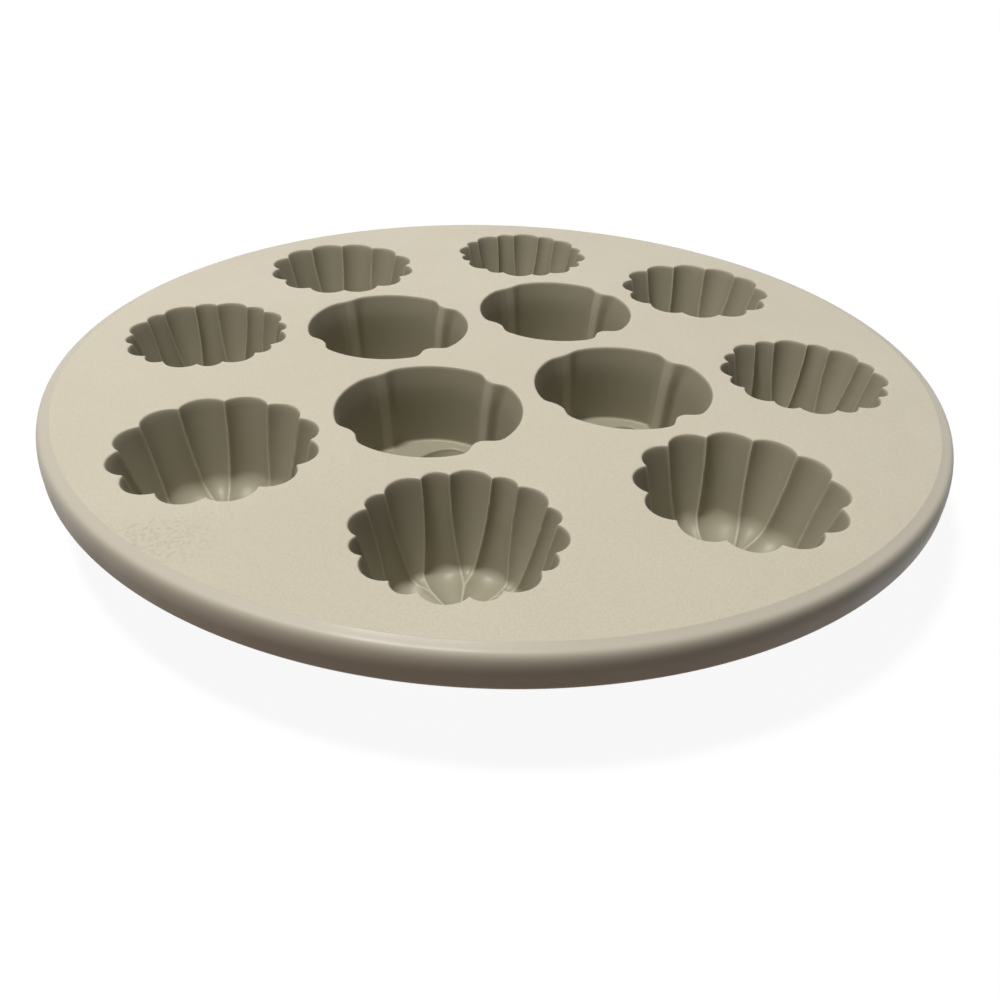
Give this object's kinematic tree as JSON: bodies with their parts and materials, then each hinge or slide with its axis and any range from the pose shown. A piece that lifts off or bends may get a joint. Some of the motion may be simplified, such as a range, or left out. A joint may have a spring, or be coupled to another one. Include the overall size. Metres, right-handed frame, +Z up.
{
  "type": "silicone flower cupcake pan",
  "caption": "Round flexible baking pan: a flat deck in a thick rounded rim, with fluted, petal and lobed flower cups whose floors press up to release the cakes.",
  "frame": {"origin": "on the table under the middle of the pan", "axes": "+Z up out of the cups; a petal cup lies on -Y, the side that faces the viewer in the picture, and on +X, +Y and -X"},
  "size_m": [0.356, 0.356, 0.039],
  "materials": {
    "silicone": "matte, slightly satin moulded silicone in warm stone beige"
  },
  "bodies": {
    "pan": {"deck": "silicone", "rim": "silicone", "fluted_cup_1_wall": "silicone", "petal_cup_1_wall": "silicone", "lobed_cup_1_wall": "silicone", "fluted_cup_2_wall": "silicone", "petal_cup_2_wall": "silicone", "lobed_cup_2_wall": "silicone", "fluted_cup_3_wall": "silicone", "petal_cup_3_wall": "silicone", "lobed_cup_3_wall": "silicone", "fluted_cup_4_wall": "silicone", "petal_cup_4_wall": "silicone", "lobed_cup_4_wall": "silicone"},
    "fluted_cup_1_floor": {"fluted_cup_1_floor": "silicone"},
    "petal_cup_1_floor": {"petal_cup_1_floor": "silicone"},
    "lobed_cup_1_floor": {"lobed_cup_1_floor": "silicone"},
    "fluted_cup_2_floor": {"fluted_cup_2_floor": "silicone"},
    "petal_cup_2_floor": {"petal_cup_2_floor": "silicone"},
    "lobed_cup_2_floor": {"lobed_cup_2_floor": "silicone"},
    "fluted_cup_3_floor": {"fluted_cup_3_floor": "silicone"},
    "petal_cup_3_floor": {"petal_cup_3_floor": "silicone"},
    "lobed_cup_3_floor": {"lobed_cup_3_floor": "silicone"},
    "fluted_cup_4_floor": {"fluted_cup_4_floor": "silicone"},
    "petal_cup_4_floor": {"petal_cup_4_floor": "silicone"},
    "lobed_cup_4_floor": {"lobed_cup_4_floor": "silicone"}
  },
  "joints": [
    {"name": "fluted_cup_1_press_out", "type": "slide", "parent": "pan", "child": "fluted_cup_1_floor", "axis": [0, 0, 1], "range_m": [0, 0.014], "stiffness_N_per_m": 500},
    {"name": "petal_cup_1_press_out", "type": "slide", "parent": "pan", "child": "petal_cup_1_floor", "axis": [0, 0, 1], "range_m": [0, 0.014], "stiffness_N_per_m": 500},
    {"name": "lobed_cup_1_press_out", "type": "slide", "parent": "pan", "child": "lobed_cup_1_floor", "axis": [0, 0, 1], "range_m": [0, 0.014], "stiffness_N_per_m": 500},
    {"name": "fluted_cup_2_press_out", "type": "slide", "parent": "pan", "child": "fluted_cup_2_floor", "axis": [0, 0, 1], "range_m": [0, 0.014], "stiffness_N_per_m": 500},
    {"name": "petal_cup_2_press_out", "type": "slide", "parent": "pan", "child": "petal_cup_2_floor", "axis": [0, 0, 1], "range_m": [0, 0.014], "stiffness_N_per_m": 500},
    {"name": "lobed_cup_2_press_out", "type": "slide", "parent": "pan", "child": "lobed_cup_2_floor", "axis": [0, 0, 1], "range_m": [0, 0.014], "stiffness_N_per_m": 500},
    {"name": "fluted_cup_3_press_out", "type": "slide", "parent": "pan", "child": "fluted_cup_3_floor", "axis": [0, 0, 1], "range_m": [0, 0.014], "stiffness_N_per_m": 500},
    {"name": "petal_cup_3_press_out", "type": "slide", "parent": "pan", "child": "petal_cup_3_floor", "axis": [0, 0, 1], "range_m": [0, 0.014], "stiffness_N_per_m": 500},
    {"name": "lobed_cup_3_press_out", "type": "slide", "parent": "pan", "child": "lobed_cup_3_floor", "axis": [0, 0, 1], "range_m": [0, 0.014], "stiffness_N_per_m": 500},
    {"name": "fluted_cup_4_press_out", "type": "slide", "parent": "pan", "child": "fluted_cup_4_floor", "axis": [0, 0, 1], "range_m": [0, 0.014], "stiffness_N_per_m": 500},
    {"name": "petal_cup_4_press_out", "type": "slide", "parent": "pan", "child": "petal_cup_4_floor", "axis": [0, 0, 1], "range_m": [0, 0.014], "stiffness_N_per_m": 500},
    {"name": "lobed_cup_4_press_out", "type": "slide", "parent": "pan", "child": "lobed_cup_4_floor", "axis": [0, 0, 1], "range_m": [0, 0.014], "stiffness_N_per_m": 500}
  ]
}
